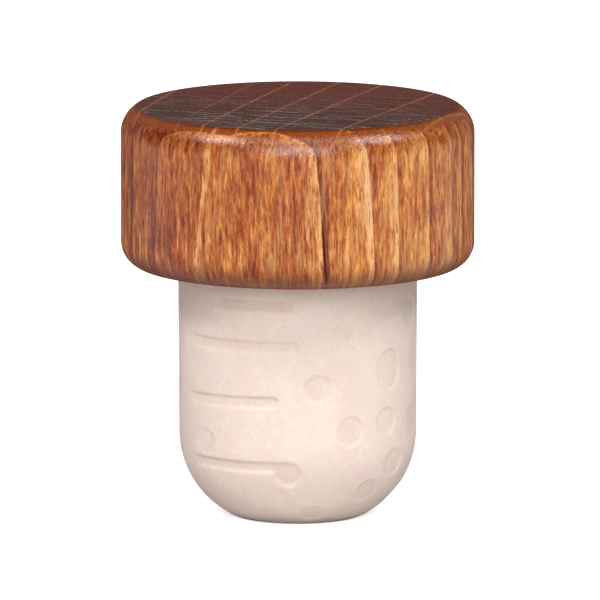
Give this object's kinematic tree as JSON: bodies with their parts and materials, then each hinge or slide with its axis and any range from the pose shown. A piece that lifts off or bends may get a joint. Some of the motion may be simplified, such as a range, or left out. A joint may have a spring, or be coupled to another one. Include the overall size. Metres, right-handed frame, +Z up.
{
  "type": "wooden bottle stopper",
  "caption": "Turned wooden head glued on a moulded neck plug with cork-like marks; the plug is pushed into a bottle neck to close it.",
  "frame": {"origin": "middle of the flat foot of the neck plug, on which the stopper stands upright", "axes": "+Z up along the stopper's axis, from the plug's foot to the head's flat top; -Y is the side the picture shows"},
  "size_m": [0.0288, 0.0288, 0.0337],
  "materials": {
    "head_wood": "stained open-grained hardwood under a thin satin lacquer",
    "plug_polymer": "matte pinkish-beige closed-cell polymer, moulded"
  },
  "bodies": {
    "root": {"wooden_head": "head_wood", "neck_plug": "plug_polymer"}
  },
  "joints": []
}
